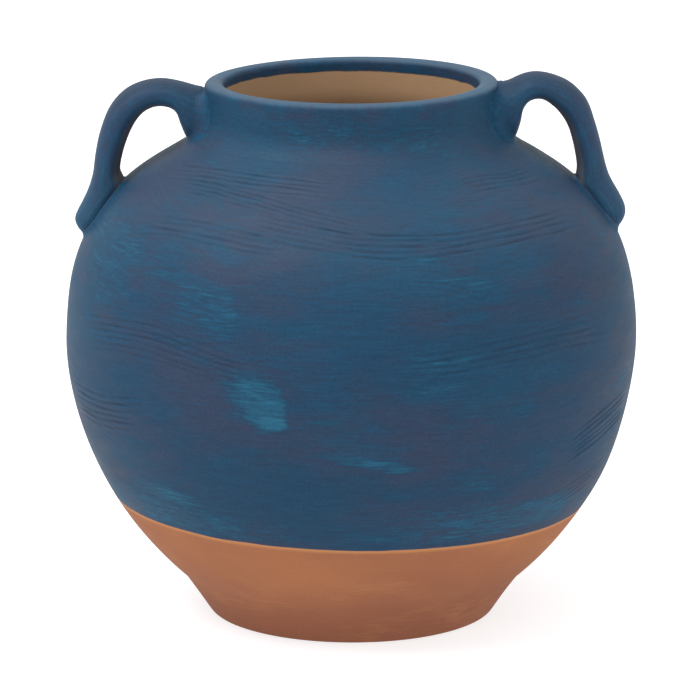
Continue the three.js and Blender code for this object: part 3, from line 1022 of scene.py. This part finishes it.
class VASE_OT_handles(bpy.types.Operator):
    """Pulls the two strap handles from the neck to the shoulder"""

    bl_idname = "vase.handles"
    bl_label = "Handles"

    def execute(self, context):
        sizes, colours, _ = settings(context)
        for name, (side, stations) in STRAPS.items():
            rings, out = strap_rings(side, stations, sizes)
            handle = to_piece(
                f"vase_handle_{name}", lofted(shifted(rings, sizes), False),
                handle_paint("Handle paint", colours), "blue_paint", f"handle_{name}",
            )
            handle_marks(handle.data, rings, out)
            soften(handle.data)
        return {"FINISHED"}


class VASE_OT_lutes(bpy.types.Operator):
    """Smooths a fillet of clay around each handle root"""

    bl_idname = "vase.lutes"
    bl_label = "Lutes"

    def execute(self, context):
        sizes, colours, section = settings(context)
        for name, (side, stations) in STRAPS.items():
            rings, _ = strap_rings(side, stations, sizes)
            for place, run, spread in (
                ("neck", rings, sizes.neck_lute), ("shoulder", rings[::-1], sizes.shoulder_lute)
            ):
                sections = shifted(lute_rings(run, section, sizes, spread), sizes)
                lute = to_piece(
                    f"vase_{place}_lute_{name}", lofted(sections, True), handle_paint("Handle paint", colours),
                    "blue_paint", f"{place}_lute_{name}",
                )
                points = read_points(lute.data)
                azimuth = np.arctan2(points[:, 0], -points[:, 1])
                rise = section.rise(points[:, 2])
                note(lute.data, "brush", brush_run(azimuth, rise))
                note(lute.data, "rub", np.tile(LUTE_RUB, len(sections)))
                # The shoulder lutes take the full stain and painted shade, the neck lutes half.
                stain_and_shade_scale = 1 if place == "shoulder" else 0.5
                note(lute.data, "stain_and_shade", np.tile(LUTE_STAIN_AND_SHADE, len(sections)) * stain_and_shade_scale)
                for blank in ("inside", "cut_and_shade"):
                    note(lute.data, blank, np.zeros(len(points)))
                soften(lute.data)
        return {"FINISHED"}


FLOOR_RADIUS = 7.0
FLOOR_SIDES = 96
FLOOR_GLOW = 0.69
WORLD_LIGHT = 1.0
# Each light's place, width and power in watts.
SOFT_LIGHTS = {
    "Top light": ((-1.1, -0.65, 2.35), 1.8, 60.0),
    "Right light": ((2.4, -0.9, 1.2), 1.4, 10.0),
}
# The camera's lens and sensor in mm, its tilt in degrees and its distance in girth radii.
CAMERA_LENS = 234.0
CAMERA_SENSOR = 36
CAMERA_SHIFT = (-0.0017, -0.0077)
CAMERA_CLIP = (0.1, 60)
CAMERA_TILT = 13.18
CAMERA_DISTANCES = 16.03


class VASE_OT_stage(bpy.types.Operator):
    """Lays a plain pale floor, hangs soft studio light and sets up the camera"""

    bl_idname = "vase.stage"
    bl_label = "Stage"

    def execute(self, context):
        sizes, colours, _ = settings(context)
        scene = context.scene
        bm = bmesh.new()
        bmesh.ops.create_circle(bm, cap_ends=True, segments=FLOOR_SIDES, radius=FLOOR_RADIUS)
        mesh = bpy.data.meshes.new("studio_floor")
        bm.to_mesh(mesh)
        bm.free()
        recipe = Recipe("Studio floor")
        place = recipe.place()
        mottle = recipe.noise(recipe.stretched(place, 3, 3, 3))
        recipe.surface(recipe.dimmed(colours.floor[:], 0.99 + 0.02 * mottle), 0.9, 0.01 * mottle, FLOOR_GLOW)
        mesh.materials.append(recipe.material)
        floor = bpy.data.objects.new("studio_floor", mesh)
        scene.collection.objects.link(floor)

        world = bpy.data.worlds.new("Studio")
        world.use_nodes = True
        world.node_tree.nodes["Background"].inputs["Color"].default_value = (1, 1, 1, 1)
        world.node_tree.nodes["Background"].inputs["Strength"].default_value = WORLD_LIGHT
        scene.world = world
        scene.view_settings.view_transform = "Standard"

        for name, (place, width, energy) in SOFT_LIGHTS.items():
            lamp = bpy.data.lights.new(name, "AREA")
            lamp.shape = "DISK"
            lamp.size = width
            lamp.energy = energy
            light = bpy.data.objects.new(name, lamp)
            light.location = place
            aim = Vector((0, 0, sizes.rim_height / 2)) - Vector(place)
            light.rotation_euler = aim.to_track_quat("-Z", "Y").to_euler()
            scene.collection.objects.link(light)

        lens = bpy.data.cameras.new("Camera")
        lens.sensor_width = CAMERA_SENSOR
        lens.lens = CAMERA_LENS
        lens.shift_x, lens.shift_y = CAMERA_SHIFT
        lens.clip_start, lens.clip_end = CAMERA_CLIP
        camera = bpy.data.objects.new("Camera", lens)
        tilt = math.radians(CAMERA_TILT)
        distance = CAMERA_DISTANCES * sizes.girth_radius
        camera.location = (0, -distance * math.cos(tilt), sizes.rim_height / 2 + distance * math.sin(tilt))
        camera.rotation_euler = (math.pi / 2 - tilt, 0, 0)
        scene.collection.objects.link(camera)
        scene.camera = camera
        return {"FINISHED"}


class VASE_PT_panel(bpy.types.Panel):
    """Lists the vase's pieces, sizes and colours"""

    bl_idname = "VASE_PT_panel"
    bl_label = "Two-handled vase"
    bl_space_type = "VIEW_3D"
    bl_region_type = "UI"
    bl_category = "Vase"

    def draw(self, context):
        for operator in OPERATORS:
            self.layout.operator(operator.bl_idname)
        for group in (context.scene.vase_sizes, context.scene.vase_colours):
            box = self.layout.box()
            for name in group.__annotations__:
                box.prop(group, name)


OPERATORS = (
    VASE_OT_foot, VASE_OT_wall, VASE_OT_neck, VASE_OT_handles, VASE_OT_lutes, VASE_OT_stage,
)
CLASSES = (VaseSizes, VaseColours, *OPERATORS, VASE_PT_panel)


def register():
    for cls in CLASSES:
        bpy.utils.register_class(cls)
    bpy.types.Scene.vase_sizes = PointerProperty(type=VaseSizes)
    bpy.types.Scene.vase_colours = PointerProperty(type=VaseColours)


def unregister():
    del bpy.types.Scene.vase_colours
    del bpy.types.Scene.vase_sizes
    for cls in reversed(CLASSES):
        bpy.utils.unregister_class(cls)


def main():
    register()
    for operator in OPERATORS:
        getattr(bpy.ops.vase, operator.bl_idname.split(".")[1])()


if __name__ == "__main__":
    main()
